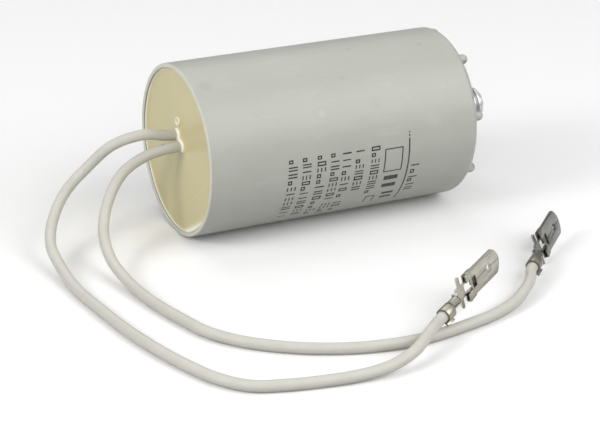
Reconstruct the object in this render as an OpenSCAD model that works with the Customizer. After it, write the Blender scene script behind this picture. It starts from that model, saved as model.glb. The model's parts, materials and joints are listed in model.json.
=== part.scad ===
// Motor run capacitor: round plastic can lying on its side, can axis along X.
// The potted end with the two leads faces -X, the mounting stud points to +X.
// The leads and their tab terminals lie in front of the can, on the -Y side.

/* [Case] */
// Outside diameter of the can
case_d = 40; // [38:0.5:46]
// Length of the can from rim to end wall
case_l = 68.5; // [66:0.5:80]
// Thickness of the side wall
case_wall = 1.1; // [0.9:0.1:1.4]
// Thickness of the end wall
end_wall = 2.2; // [2:0.1:3]
// Outside corner radius at the end wall
end_corner_r = 1.6; // [1:0.1:1.8]
// Radius of the rounded rim edges
rim_edge_r = 0.35; // [0.2:0.05:0.4]

/* [End pips] */
// Number of spacer pips round the end wall
pip_count = 8; // [6:1:10]
// Diameter of one pip
pip_d = 2.4; // [2:0.1:2.8]
// How far a pip stands out of the end wall
pip_h = 1.9; // [1.5:0.1:2.4]
// Distance from the side of the can to the middle of a pip
pip_inset = 1.8; // [1.5:0.1:2.5]
// Turn of the first pip about the can axis
pip_turn = 30; // [0:5:40]

/* [Mounting stud] */
// Thread diameter of the stud
stud_d = 8; // [6:1:8]
// Length of stud outside the end wall
stud_l = 11.3; // [8:0.1:16]
// Length of the chamfer on the stud's tip
stud_chamfer = 0.9; // [0.5:0.1:1.2]
// Width across flats of the moulded-in head
head_af = 13; // [12:0.5:14]
// Thickness of the moulded-in head
head_t = 2.5; // [2:0.1:3]
// Diameter of the boss that holds the head
boss_d = 18; // [17:0.5:22]
// Height of the boss inside the end wall
boss_h = 4.3; // [4:0.1:6]

/* [Winding] */
// Room for resin between the wrapped winding and the side wall
winding_gap = 1.6; // [1.2:0.1:3]
// Length of the film winding
winding_l = 48; // [40:0.5:49]
// Outside diameter of the plastic core tube
core_d = 10; // [9.6:0.2:12]
// Wall of the core tube
core_wall = 0.8; // [0.5:0.1:0.9]
// Thickness of the sprayed metal end contacts
contact_t = 0.6; // [0.4:0.1:1]
// Thickness of the plain film wrapped round the winding
wrap_t = 0.3; // [0.2:0.05:0.5]
// Thickness of the spacer disc under the winding
spacer_t = 1; // [0.8:0.1:1.5]
// Height of the spacer's rim
spacer_rim_h = 1.8; // [1.6:0.1:2.5]

/* [Potting] */
// Depth of the resin below the rim
resin_recess = 0.9; // [0.5:0.1:1.5]
// Radius of the resin's fillets at the wall and round the leads
meniscus_r = 0.8; // [0.4:0.1:0.8]

/* [Leads] */
// Diameter of a lead over its insulation
lead_d = 2.5; // [2.2:0.1:2.6]
// Diameter of the stranded conductor
conductor_d = 1.4; // [1.1:0.1:1.4]
// How deep the insulation reaches into the resin
lead_depth = 5; // [3:0.5:6]
// Wall of the sleeve on the wire that runs down the core
sleeve_wall = 0.35; // [0.25:0.05:0.5]
// Radius of the domed solder joints
solder_r = 1.7; // [1.5:0.1:1.7]
// Distance from the can axis to the solder joints
solder_at = 10; // [9:0.5:12]

/* [Tab terminals] */
// Thickness of the strip that the terminal is folded from
strip_t = 0.4; // [0.3:0.05:0.4]
// Width of the tab
tab_w = 6.3; // [6.2:0.1:6.4]
// Length of the tab from its shoulder to the tip
tab_l = 13.3; // [13:0.1:14]
// Radius of the tab's rounded tip
tab_nose_r = 3.6; // [3.3:0.1:4]
// Diameter of the detent hole
tab_hole_d = 1.7; // [1.4:0.1:1.9]
// Distance of the detent hole from the tip
tab_hole_at = 4.1; // [3.9:0.1:4.5]
// Length of the open fold behind the pressed tab
open_fold_l = 3; // [2.8:0.1:3.2]
// Height of the open fold at the shoulder
open_fold_h = 0.45; // [0.3:0.05:0.5]
// Width across the two stop ears
ear_span = 7.6; // [7.2:0.1:8]
// Length of the conductor crimp
wire_crimp_l = 2.7; // [2.4:0.1:3]
// Length of the insulation crimp
grip_crimp_l = 2.6; // [2.2:0.1:3]

/* [Hidden] */
$fn = 64;
cut = 1; // how far a cutter runs past the face it opens

case_r = case_d / 2;
case_in_r = case_r - case_wall;
rim_x = -(case_l + stud_l) / 2;
stud_r = stud_d / 2;
wrap_r = case_in_r - winding_gap;
winding_r = wrap_r - wrap_t;
core_r = core_d / 2;
bore_r = core_r - core_wall;
lead_r = lead_d / 2;
conductor_r = conductor_d / 2;

head_offset = 0.5; // how far the stud's head sits inward of the boss's middle
shank_undercut = 0.4;

// places along the can axis, counted from the rim
end_face_s = case_l;
boss_s = case_l - end_wall - boss_h;
head_s = boss_s + (boss_h + end_wall - head_t) / 2 - head_offset;
spacer_s = boss_s - spacer_t;
base_s = spacer_s - spacer_rim_h;
film_s = base_s - contact_t - winding_l;
top_s = film_s - contact_t;
lead_s = resin_recess + lead_depth;

// where the leads leave the resin, measured from the can axis
lead_a_out = [0.5, 3.7];
lead_b_out = [-1.8, 1.6];
wire_lift = 0.1; // solder left between a wire and its contact
solder_room = 1; // room between a solder joint and the spacer's rim
lead_run_out = 2; // straight stretch of a lead outside the resin

// terminal features, along the tab from its shoulder
fold_end = open_fold_l;
window_back = -0.3;
window_w = 2.1;
flap_cut_w = 2.9;
flap_cut_l = 2;
slot_from = 2.4;
slot_w = 2.5;
lance_root = 4;
lance_l = 1.05;
lance_drop = 0.5;
lance_side_gap = 0.1;
lance_root_w = 0.1;
seam_w = 0.06;
neck_w = 3.1;
ear_at = -1.8;
ear_w = 0.9;
spine_w = 1.2;
trough_from = -3.3;
trough_wall_rise = 0.9;
trough_wall_h = 0.3;
wire_crimp_from = -4.6;
wire_crimp_to = wire_crimp_from - wire_crimp_l;
wire_end_out = 0.4; // bare strands seen in front of their crimp
wire_seam_w = 0.06;
wire_seam_mouth = 0.52;
bell_l = 0.4;
bell_r = 0.2;
grip_gap = 1.1; // between the two crimps
grip_from = wire_crimp_to - grip_gap;
grip_to = grip_from - grip_crimp_l;
grip_lead_in = 0.4; // insulation seen in front of its crimp
lead_tip = grip_from + grip_lead_in;
grip_clear = 0.02;
grip_r = lead_r + grip_clear;
grip_open = [155, 185]; // angles between which the insulation crimp is open
wing_at = 190;
wing_turn = -60;
wing_l = 1.3;
wire_axis_z = conductor_r;
lead_axis_z = grip_r;
join = 0.1; // how far neighbouring stretches of the strip run into each other
skin = 0.001; // keeps a cutter's end off the face it meets
grip_straight = [1.2, 0.2]; // straight points of a lead behind its crimp

// terminal places: shoulder point, turn about Z, rise of the tip, roll about the tab
terminal_a = [[-0.2, -63.9, 6.6], 28.5, 11, 77.5];
terminal_b = [[30.1, -46.8, 3.75], 42, 4.5, 65];

// free stretch of each lead, from the resin to the terminal
lead_a_route = [[-47, 1.2, 24.5], [-53.5, 3.5, 22.2], [-59, 6, 16.5], [-64.5, 5, 12],
                [-69, 1, 8], [-72, -5, 4.5], [-72.5, -12, 2.5], [-72.5, -19.5, 1.5],
                [-71, -34.5, 1.3], [-68.5, -49, 1.3], [-64, -63.5, 1.3], [-61, -70, 1.3],
                [-56, -75.5, 1.3], [-49, -78, 1.3], [-41.5, -79.5, 1.3], [-34.5, -80.5, 1.5],
                [-27, -80.5, 2.1], [-20.5, -78.5, 3.2], [-15.5, -75, 4.2]];
lead_b_route = [[-46.5, -1, 20.5], [-53, -1.5, 17.5], [-58, -4.5, 12.5], [-61, -9, 7.5],
                [-62, -15.5, 4], [-61.5, -22.5, 2.2], [-60.5, -30, 1.5], [-57, -44.5, 1.3],
                [-54.5, -51.5, 1.3], [-50, -57.5, 1.3], [-44, -62.5, 1.3], [-31, -69, 1.3],
                [-16, -71.5, 1.3], [-1.5, -69.5, 1.3], [6, -67.5, 1.3], [12, -65, 1.7],
                [17, -61.5, 2.5], [20, -58.5, 2.9]];
ring_pitch = 6;
tube_sides = 8;

// ---- placing ------------------------------------------------------------

// stands its child on the can axis, s along it from the rim
module on_axis(s = 0) {
    translate([rim_x + s, 0, case_r]) rotate([0, 90, 0]) children();
}

// stands its child at a lead's exit, parallel to the can axis
module at_lead(out, s = 0) {
    translate([rim_x + s, out[0], case_r + out[1]]) rotate([0, 90, 0]) children();
}

module place_terminal(place) {
    translate(place[0])
        rotate([0, 0, place[1]])
            rotate([0, -place[2], 0])
                rotate([place[3], 0, 0])
                    children();
}

// one point of a terminal's own frame, in the frame of the part
function from_terminal(place, p) =
    let (y1 = p[1] * cos(place[3]) - p[2] * sin(place[3]),
         z1 = p[1] * sin(place[3]) + p[2] * cos(place[3]),
         x2 = p[0] * cos(place[2]) - z1 * sin(place[2]),
         z2 = p[0] * sin(place[2]) + z1 * cos(place[2]))
    place[0] + [x2 * cos(place[1]) - y1 * sin(place[1]),
                x2 * sin(place[1]) + y1 * cos(place[1]),
                z2];

module ring(r_out, r_in, l) {
    difference() {
        cylinder(r = r_out, h = l);
        translate([0, 0, -cut]) cylinder(r = r_in, h = l + 2 * cut);
    }
}

// ---- case and stud ------------------------------------------------------

// half section of the cup, turned about the can axis
module case_profile() {
    square([case_r - end_corner_r, case_l]);
    translate([0, rim_edge_r]) square([case_r, case_l - end_corner_r - rim_edge_r]);
    square([case_r - rim_edge_r, case_l - end_corner_r]);
    translate([case_r - rim_edge_r, rim_edge_r]) circle(r = rim_edge_r);
    translate([case_r - end_corner_r, case_l - end_corner_r]) circle(r = end_corner_r);
}

// half section of the room inside the cup, with a soft inner rim edge
module cavity_profile() {
    translate([0, -cut]) square([case_in_r, case_l - end_wall + cut]);
    difference() {
        translate([0, -cut]) square([case_in_r + rim_edge_r, rim_edge_r + cut]);
        translate([case_in_r + rim_edge_r, rim_edge_r]) circle(r = rim_edge_r);
    }
}

module pips() {
    for (i = [0 : pip_count - 1])
        rotate([0, 0, pip_turn + i * 360 / pip_count])
            translate([case_r - pip_inset, 0, end_face_s - end_wall / 2]) {
                cylinder(d = pip_d, h = end_wall / 2 + pip_h - pip_d / 2);
                translate([0, 0, end_wall / 2 + pip_h - pip_d / 2]) sphere(d = pip_d);
            }
}

// hex head, undercut shank inside the plastic, full diameter from the end face on
module stud_body() {
    on_axis(head_s) cylinder(d = head_af / cos(30), h = head_t, $fn = 6);
    on_axis(head_s) cylinder(r = stud_r - shank_undercut, h = end_face_s + cut - head_s);
    on_axis(end_face_s) cylinder(r = stud_r, h = stud_l - stud_chamfer);
    on_axis(end_face_s + stud_l - stud_chamfer)
        cylinder(r1 = stud_r, r2 = stud_r - stud_chamfer, h = stud_chamfer);
}

module case() {
    color("#bfc0b7")
        difference() {
            on_axis() {
                rotate_extrude() difference() {
                    case_profile();
                    cavity_profile();
                }
                pips();
                translate([0, 0, boss_s]) cylinder(d = boss_d, h = boss_h + end_wall / 2);
            }
            stud_body();
        }
}

module mounting_stud() {
    color("#c9cccf") stud_body();
}

// ---- winding and what carries it ------------------------------------------

module film_winding() {
    color("#b9bcc0") on_axis(film_s) ring(winding_r, core_r, winding_l);
}

module winding_core() {
    color("#e6e2d4") on_axis(top_s) ring(core_r, bore_r, base_s - top_s);
}

module outer_wrap() {
    color("#e9dfae") on_axis(top_s) ring(wrap_r, winding_r, base_s - top_s);
}

module lead_end_contact() {
    color("#8f9296") on_axis(top_s) ring(winding_r, core_r, contact_t);
}

module base_end_contact() {
    color("#8f9296") on_axis(film_s + winding_l) ring(winding_r, core_r, contact_t);
}

// disc on the boss with a rim that the winding's edge stands on
module base_spacer() {
    color("#d8d2bd") {
        on_axis(spacer_s) cylinder(r = wrap_r, h = spacer_t);
        on_axis(base_s) ring(wrap_r, solder_at + solder_r + solder_room, spacer_rim_h);
    }
}

// ---- connections --------------------------------------------------------

// bare wire along the can axis that turns outwards against a contact
module bent_wire(out, from_s, turn_s) {
    at_lead(out, from_s) cylinder(r = conductor_r, h = turn_s - from_s);
    at_lead(out, turn_s) sphere(r = conductor_r);
    translate([rim_x + turn_s, out[0], case_r + out[1]])
        cylinder(r = conductor_r, h = solder_at - out[1]);
}

module wire_a_inner() {
    bent_wire(lead_a_out, lead_s, top_s - conductor_r - wire_lift);
}

module wire_b_inner() {
    bent_wire(lead_b_out, lead_s, base_s + conductor_r + wire_lift);
}

// dome of solder on a contact, over the end of the wire; side -1 faces -X
module solder_dome(out, s, side) {
    translate([rim_x + s, out[0], case_r + solder_at])
        rotate([0, side * 90, 0])
            rotate_extrude()
                intersection() {
                    circle(r = solder_r);
                    square([solder_r, solder_r]);
                }
}

module solder_joint_a() {
    color("#a7a9ab")
        difference() {
            solder_dome(lead_a_out, top_s, -1);
            wire_a_inner();
        }
}

module solder_joint_b() {
    color("#a7a9ab")
        difference() {
            solder_dome(lead_b_out, base_s, 1);
            wire_b_inner();
        }
}

module core_sleeve() {
    color("#d9d9d2")
        at_lead(lead_b_out, top_s)
            ring(conductor_r + sleeve_wall, conductor_r, base_s - top_s);
}

module terminal_wire(place) {
    place_terminal(place)
        translate([wire_crimp_from + wire_end_out, 0, wire_axis_z])
            rotate([0, -90, 0])
                cylinder(r = conductor_r, h = wire_crimp_from + wire_end_out - lead_tip);
}

module lead_a_conductor() {
    color("#b98a5c") {
        wire_a_inner();
        terminal_wire(terminal_a);
    }
}

module lead_b_conductor() {
    color("#b98a5c") {
        wire_b_inner();
        terminal_wire(terminal_b);
    }
}

// ---- potting ------------------------------------------------------------

// concave fillet where the resin creeps up a round wall
module wall_meniscus() {
    rotate_extrude()
        difference() {
            translate([case_in_r - meniscus_r, -meniscus_r]) square([meniscus_r, 2 * meniscus_r]);
            translate([case_in_r - meniscus_r, -meniscus_r]) circle(r = meniscus_r);
        }
}

module lead_meniscus() {
    rotate_extrude()
        difference() {
            translate([0, -meniscus_r]) square([grip_r + meniscus_r, 2 * meniscus_r]);
            translate([grip_r + meniscus_r, -meniscus_r]) circle(r = meniscus_r);
        }
}

module lead_bore(out) {
    at_lead(out, -cut) cylinder(r = grip_r, h = lead_s + cut);
}

module potting_resin() {
    color("#d3c795")
        difference() {
            union() {
                on_axis(resin_recess) cylinder(r = case_in_r, h = top_s - resin_recess);
                on_axis(top_s) ring(case_in_r, wrap_r, spacer_s + spacer_t - top_s);
                on_axis(resin_recess) wall_meniscus();
                at_lead(lead_a_out, resin_recess) lead_meniscus();
                at_lead(lead_b_out, resin_recess) lead_meniscus();
            }
            lead_bore(lead_a_out);
            lead_bore(lead_b_out);
            wire_a_inner();
            wire_b_inner();
            solder_dome(lead_a_out, top_s, -1);
        }
}

// ---- leads --------------------------------------------------------------

function chord(p, i) = norm(p[i + 1] - p[i]);

// direction of the route at point i, per unit of length
function slope(p, i) =
    i == 0 ? (p[1] - p[0]) / chord(p, 0) :
    i == len(p) - 1 ? (p[i] - p[i - 1]) / chord(p, i - 1) :
    let (a = chord(p, i - 1), b = chord(p, i))
    ((p[i + 1] - p[i]) * a / b + (p[i] - p[i - 1]) * b / a) / (a + b);

// point at share t of the smooth stretch from point i to the next
function on_curve(p, i, t) =
    let (h = chord(p, i), a = slope(p, i) * h, b = slope(p, i + 1) * h)
    p[i] * (1 + t * t * (2 * t - 3)) + p[i + 1] * t * t * (3 - 2 * t)
    + a * t * (1 - t) * (1 - t) - b * t * t * (1 - t);

// the route as a chain of ring centres, one about every ring_pitch
function centres(p) = [
    for (i = [0 : len(p) - 2])
        let (steps = max(1, round(chord(p, i) / ring_pitch)))
        for (k = [0 : steps - 1]) on_curve(p, i, k / steps),
    p[len(p) - 1]];

function unit(v) = v / norm(v);

function heading(c, i) =
    unit(c[min(i + 1, len(c) - 1)] - c[max(i - 1, 0)]);

// side directions of the rings, carried along so that the tube doesn't twist
function sides(c) = [
    for (i = 0, s = [0, 1, 0]; i < len(c);
         i = i + 1,
         s = i < len(c) ? unit(s - heading(c, i) * (s * heading(c, i))) : s) s];

function ring_points(c, r) = [
    for (i = [0 : len(c) - 1])
        let (h = heading(c, i), a = unit(sides(c)[i] - h * (sides(c)[i] * h)), b = cross(h, a))
        for (k = [0 : tube_sides - 1])
            c[i] + r * (a * cos(360 * k / tube_sides) + b * sin(360 * k / tube_sides))];

module tube(route, r) {
    c = centres(route);
    n = tube_sides;
    last = (len(c) - 1) * n;
    walls = [
        for (i = [0 : len(c) - 2])
            for (k = [0 : n - 1])
                for (f = [[i * n + k, i * n + (k + 1) % n, (i + 1) * n + k],
                          [i * n + (k + 1) % n, (i + 1) * n + (k + 1) % n, (i + 1) * n + k]]) f];
    caps = [[for (k = [n - 1 : -1 : 0]) k], [for (k = [0 : n - 1]) last + k]];
    polyhedron(points = ring_points(c, r), faces = concat(walls, caps));
}

// whole route: straight inside the resin, free, then straight into the grip
function lead_route(out, free, place) = concat(
    [for (s = [lead_s, resin_recess, resin_recess - lead_run_out])
        [rim_x + s, out[0], case_r + out[1]]],
    free,
    [for (x = [grip_to - grip_straight[0], grip_to - grip_straight[1], lead_tip])
        from_terminal(place, [x, 0, lead_axis_z])]);

module lead_a() {
    color("#d7d5cb") tube(lead_route(lead_a_out, lead_a_route, terminal_a), lead_r);
}

module lead_b() {
    color("#d7d5cb") tube(lead_route(lead_b_out, lead_b_route, terminal_b), lead_r);
}

// ---- tab terminal -------------------------------------------------------

// extrudes a section drawn in the YZ plane along X
module along_x(from, to) {
    translate([from, 0, 0]) rotate([90, 0, 90]) linear_extrude(to - from) children();
}

// extrudes a profile drawn in the XZ plane, w wide about Y = 0
module across_y(w) {
    rotate([90, 0, 0]) linear_extrude(w, center = true) children();
}

// plan of the tab: straight sides and a rounded tip
module tab_plan() {
    straight = tab_l - tab_nose_r + sqrt(tab_nose_r * tab_nose_r - tab_w * tab_w / 4);
    translate([0, -tab_w / 2]) square([straight, tab_w]);
    intersection() {
        translate([0, -tab_w / 2]) square([tab_l, tab_w]);
        translate([tab_l - tab_nose_r, 0]) circle(r = tab_nose_r);
    }
}

// section of the pressed tab: two layers of strip with folded long edges
module pressed_section() {
    translate([-tab_w / 2 + strip_t, -strip_t]) square([tab_w - 2 * strip_t, 2 * strip_t]);
    for (side = [-1, 1])
        translate([side * (tab_w / 2 - strip_t), 0]) circle(r = strip_t);
}

module pressed_tab() {
    intersection() {
        along_x(fold_end, tab_l) pressed_section();
        translate([0, 0, -strip_t]) linear_extrude(2 * strip_t) tab_plan();
    }
}

// the rear of the tab, where the folded flaps rise off the base layer
module open_fold() {
    rise = open_fold_h;
    difference() {
        across_y(tab_w)
            polygon([[0, -strip_t], [fold_end, -strip_t], [fold_end, strip_t], [0, strip_t + rise]]);
        across_y(tab_w - 2 * strip_t)
            polygon([[-cut, 0], [fold_end, 0], [-cut, rise * (fold_end + cut) / fold_end]]);
        translate([-cut, -flap_cut_w / 2, 0])
            cube([flap_cut_l + cut, flap_cut_w, 2 * strip_t + rise]);
    }
}

// floor strip that runs from the tab back to the insulation crimp
module neck_plan() {
    translate([trough_from, -neck_w / 2]) square([join - trough_from, neck_w]);
    translate([grip_from - join, -spine_w / 2])
        square([trough_from - grip_from + 2 * join, spine_w]);
    translate([ear_at - ear_w / 2, -ear_span / 2 + ear_w / 2])
        square([ear_w, ear_span - ear_w]);
    for (side = [-1, 1])
        translate([ear_at, side * (ear_span - ear_w) / 2]) circle(d = ear_w);
}

// strip rolled round the bare strands
module wire_section() {
    translate([0, wire_axis_z])
        difference() {
            circle(r = conductor_r + strip_t);
            circle(r = conductor_r);
        }
}

// the lower part of that section, up to the given height above the floor
module trough_section(height) {
    intersection() {
        wire_section();
        translate([-tab_w / 2, -strip_t]) square([tab_w, strip_t + height]);
    }
}

// closed barrel round the bare strands, its two wings meeting in a rolled seam
module wire_crimp() {
    along_x(wire_crimp_to, wire_crimp_from)
        difference() {
            wire_section();
            translate([0, wire_axis_z])
                polygon([[-wire_seam_w / 2, 0], [wire_seam_w / 2, 0],
                         [wire_seam_mouth / 2, conductor_r + strip_t + cut],
                         [-wire_seam_mouth / 2, conductor_r + strip_t + cut]]);
        }
    translate([wire_crimp_to, 0, wire_axis_z])
        rotate([0, -90, 0])
            difference() {
                cylinder(r1 = conductor_r + strip_t, r2 = conductor_r + strip_t + bell_r, h = bell_l);
                translate([0, 0, -skin])
                    cylinder(r1 = conductor_r, r2 = conductor_r + bell_r, h = bell_l + 2 * skin);
            }
}

// wings gripping the insulation: one wraps over the lead, the other stands off
module grip_crimp() {
    along_x(grip_to, grip_from) {
        translate([0, lead_axis_z])
            difference() {
                circle(r = grip_r + strip_t);
                circle(r = grip_r);
                polygon([[0, 0], for (a = grip_open) 3 * grip_r * [cos(a), sin(a)]]);
            }
        translate([0, lead_axis_z])
            rotate(wing_at)
                translate([grip_r + strip_t / 2, 0])
                    rotate(wing_turn)
                        translate([0, -strip_t / 2]) square([wing_l, strip_t]);
    }
}

// tongue cut from the base layer and bent out to latch in a housing
module lance() {
    across_y(window_w - 2 * lance_side_gap)
        polygon([[lance_root + lance_root_w, 0], [lance_root + lance_root_w, -strip_t],
                 [lance_root - lance_l, -strip_t - lance_drop],
                 [lance_root - lance_l, -lance_drop]]);
}

module terminal() {
    difference() {
        union() {
            pressed_tab();
            open_fold();
            translate([0, 0, -strip_t]) linear_extrude(strip_t) neck_plan();
        }
        translate([tab_l - tab_hole_at, 0, -cut]) cylinder(d = tab_hole_d, h = 2 * cut);
        translate([window_back, -window_w / 2, -cut])
            cube([lance_root - window_back, window_w, cut + skin]);
        translate([slot_from, -slot_w / 2, -skin])
            cube([lance_root - lance_root_w - slot_from, slot_w, cut]);
        translate([flap_cut_l, -seam_w / 2, 0]) cube([tab_l, seam_w, cut]);
    }
    lance();
    along_x(wire_crimp_from - join, trough_from + join) trough_section(wire_axis_z);
    for (side = [-1, 1])
        translate([0, side * (conductor_r + strip_t / 2), 0])
            across_y(strip_t)
                polygon([[trough_from + trough_wall_rise, -strip_t], [wire_crimp_from, -strip_t],
                         [wire_crimp_from, wire_axis_z + trough_wall_h],
                         [trough_from, wire_axis_z]]);
    wire_crimp();
    along_x(lead_tip, wire_crimp_to + join) trough_section(wire_axis_z / 2);
    grip_crimp();
}

module lead_a_terminal() {
    color("#b5b5ab") place_terminal(terminal_a) terminal();
}

module lead_b_terminal() {
    color("#b5b5ab") place_terminal(terminal_b) terminal();
}

case();
mounting_stud();
film_winding();
winding_core();
outer_wrap();
lead_end_contact();
base_end_contact();
base_spacer();
core_sleeve();
solder_joint_a();
solder_joint_b();
potting_resin();
lead_a();
lead_b();
lead_a_conductor();
lead_b_conductor();
lead_a_terminal();
lead_b_terminal();
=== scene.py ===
import json
import math

import bmesh
import bpy
from mathutils import Matrix, Vector, noise

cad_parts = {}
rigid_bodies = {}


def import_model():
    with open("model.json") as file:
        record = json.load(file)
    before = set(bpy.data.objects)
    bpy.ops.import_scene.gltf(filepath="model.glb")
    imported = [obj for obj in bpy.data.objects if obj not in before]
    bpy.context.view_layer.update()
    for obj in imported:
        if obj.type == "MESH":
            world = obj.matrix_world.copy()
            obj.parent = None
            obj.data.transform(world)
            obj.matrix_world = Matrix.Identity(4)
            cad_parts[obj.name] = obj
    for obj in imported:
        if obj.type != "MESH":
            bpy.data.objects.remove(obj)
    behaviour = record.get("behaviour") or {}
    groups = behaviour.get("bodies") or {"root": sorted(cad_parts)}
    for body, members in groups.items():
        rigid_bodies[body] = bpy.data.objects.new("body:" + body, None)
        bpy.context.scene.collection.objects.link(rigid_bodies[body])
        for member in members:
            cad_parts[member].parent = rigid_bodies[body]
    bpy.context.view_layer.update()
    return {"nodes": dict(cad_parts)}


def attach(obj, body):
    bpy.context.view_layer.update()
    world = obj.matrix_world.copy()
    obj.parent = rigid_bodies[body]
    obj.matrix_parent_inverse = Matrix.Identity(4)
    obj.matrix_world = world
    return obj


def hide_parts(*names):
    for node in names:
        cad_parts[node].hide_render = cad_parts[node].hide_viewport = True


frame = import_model()
mm = 0.001
bpy.context.scene.view_settings.view_transform = "Standard"

# ---- camera ---------------------------------------------------------------
# A long lens, low over the table, which looks at the can from its potted end and
# its front. It is held with a slight roll.
camera_spot = Vector((-212.1, -396.3, 201.3)) * mm
camera_aim = Vector((-7.4, 0, -1.83)) * mm
camera_roll = math.radians(2.0)


def add_object(name, data):
    made = bpy.data.objects.new(name, data)
    bpy.context.scene.collection.objects.link(made)
    return made


camera_data = bpy.data.cameras.new("camera")
camera_data.sensor_width = 36
camera_data.lens = 123.36
camera_data.clip_start = 0.01
camera = add_object("camera", camera_data)
aim = (camera_aim - camera_spot).to_track_quat("-Z", "Y").to_matrix().to_4x4()
camera.matrix_world = Matrix.Translation(camera_spot) @ aim @ Matrix.Rotation(camera_roll, 4, "Z")
bpy.context.scene.camera = camera

# ---- lead insulation --------------------------------------------------------
# Two leads of soft off-white vinyl over stranded wire. They come straight out of
# the resin, drop to the table and run forward; lead a crosses over lead b.
rim_x, can_axis_z, resin_face_x = -39.9, 20.0, -39.0
lead_d = 2.5
# how far a lead runs into the resin, and how far it stands straight out of it
potted_l, straight_l = 5.0, 2.0
lead_exits = {"a": (0.5, 23.7), "b": (-1.8, 21.6)}
lead_routes = {
    "a": [(-47, 1.2, 24.5), (-53.5, 3.5, 22.2), (-59, 6, 16.5), (-64.5, 5, 12),
          (-69, 1, 8), (-72, -5, 4.5), (-72.5, -12, 2.5), (-72.5, -19.5, 1.5),
          (-71, -34.5, 1.3), (-68.5, -49, 1.3), (-64, -63.5, 1.3), (-61, -70, 1.3),
          (-56, -75.5, 1.3), (-49, -78, 1.3), (-41.5, -79.5, 1.3), (-34.5, -80.5, 1.5),
          (-27, -80.5, 2.1), (-20.5, -78.5, 3.2), (-15.5, -75, 4.2)],
    "b": [(-46.5, -1, 20.5), (-53, -1.5, 17.5), (-58, -4.5, 12.5), (-61, -9, 7.5),
          (-62, -15.5, 4), (-61.5, -22.5, 2.2), (-60.5, -30, 1.5), (-57, -44.5, 1.3),
          (-54.5, -51.5, 1.3), (-50, -57.5, 1.3), (-44, -62.5, 1.3), (-31, -69, 1.3),
          (-16, -71.5, 1.3), (-1.5, -69.5, 1.3), (6, -67.5, 1.3), (12, -65, 1.7),
          (17, -61.5, 2.5), (20, -58.5, 2.9)],
}
# each terminal's shoulder point, its turn about Z, the rise of its tip and its roll
terminal_places = {"a": ((-0.2, -63.9, 6.6), 28.5, 11, 77.5),
                   "b": ((30.1, -46.8, 3.75), 42, 4.5, 65)}
# along the terminal from its shoulder: where the grip ends and where the insulation ends
grip_to, lead_tip = -11.0, -8.0
# the heights of the insulation's and the wire's axes over the strip
lead_axis_z, wire_axis_z = 1.27, 0.7


def terminal_matrix(which):
    shoulder, turn, rise, roll = terminal_places[which]
    return (Matrix.Translation(Vector(shoulder) * mm)
            @ Matrix.Rotation(math.radians(turn), 4, "Z")
            @ Matrix.Rotation(math.radians(-rise), 4, "Y")
            @ Matrix.Rotation(math.radians(roll), 4, "X"))


def lead_points(which):
    y, z = lead_exits[which]
    start = [Vector((resin_face_x + s, y, z)) * mm for s in (potted_l, 0, -straight_l)]
    free = [Vector(p) * mm for p in lead_routes[which]]
    place = terminal_matrix(which)
    # two points near each other just outside the grip keep the lead straight in it
    end = [place @ (Vector((x, 0, lead_axis_z)) * mm)
           for x in (grip_to - 1.2, grip_to - 0.2, lead_tip)]
    return start + free + end


def smooth_curve(name, points):
    """A Bezier curve through the points, as even as a bent wire."""
    data = bpy.data.curves.new(name, "CURVE")
    data.dimensions = "3D"
    data.resolution_u = 10
    spline = data.splines.new("BEZIER")
    last = len(points) - 1
    spline.bezier_points.add(last)
    for i, (p, knot) in enumerate(zip(points, spline.bezier_points)):
        before = (p - points[i - 1]) if i else (points[1] - p)
        after = (points[i + 1] - p) if i < last else before
        a, b = before.length, after.length
        along = (after * (a / b) + before * (b / a)) / (a + b)
        knot.handle_left_type = knot.handle_right_type = "FREE"
        knot.co = p
        knot.handle_left = p - along * (a / 3)
        knot.handle_right = p + along * (b / 3)
    return add_object(name, data)


def new_material(name, **values):
    """A material whose even values are set on its shader, with its node tree and that shader."""
    material = bpy.data.materials.new(name)
    material.use_nodes = True
    tree = material.node_tree
    shader = tree.nodes["Principled BSDF"]
    for socket, value in values.items():
        shader.inputs[socket.replace("_", " ")].default_value = value
    return material, tree, shader


def node(tree, kind, inputs=(), **settings):
    """Adds a node, sets what it is told, and links or sets its inputs."""
    made = tree.nodes.new(kind)
    for key, value in settings.items():
        setattr(made, key, value)
    for key, value in dict(inputs).items():
        if isinstance(value, bpy.types.NodeSocket):
            tree.links.new(value, made.inputs[key])
        else:
            made.inputs[key].default_value = value
    return made


def maths(tree, kind, *values):
    return node(tree, "ShaderNodeMath", dict(enumerate(values)), operation=kind).outputs[0]


def mottle_group():
    """Slow clouds, fine grain and small specks, for every finish."""
    group = bpy.data.node_groups.new("mottle", "ShaderNodeTree")
    face = group.interface
    face.new_socket("Place", in_out="INPUT", socket_type="NodeSocketVector")
    for name in ("Cloud Scale", "Grain Scale"):
        face.new_socket(name, in_out="INPUT", socket_type="NodeSocketFloat")
    for name in ("Clouds", "Grain", "Specks"):
        face.new_socket(name, in_out="OUTPUT", socket_type="NodeSocketFloat")
    start = group.nodes.new("NodeGroupInput").outputs
    end = group.nodes.new("NodeGroupOutput").inputs
    clouds = node(group, "ShaderNodeTexNoise", {"Vector": start["Place"], "Scale": start["Cloud Scale"],
                                                "Detail": 4.0, "Roughness": 0.55})
    grain = node(group, "ShaderNodeTexNoise", {"Vector": start["Place"], "Scale": start["Grain Scale"],
                                               "Detail": 2.0})
    dots = node(group, "ShaderNodeTexVoronoi", {"Vector": start["Place"], "Scale": start["Cloud Scale"]})
    specks = node(group, "ShaderNodeMapRange", {"Value": dots.outputs["Distance"], "From Min": 0.03,
                                                "From Max": 0.07, "To Min": 1.0, "To Max": 0.0})
    group.links.new(clouds.outputs["Fac"], end["Clouds"])
    group.links.new(grain.outputs["Fac"], end["Grain"])
    group.links.new(specks.outputs["Result"], end["Specks"])
    return group


mottle = mottle_group()


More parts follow.
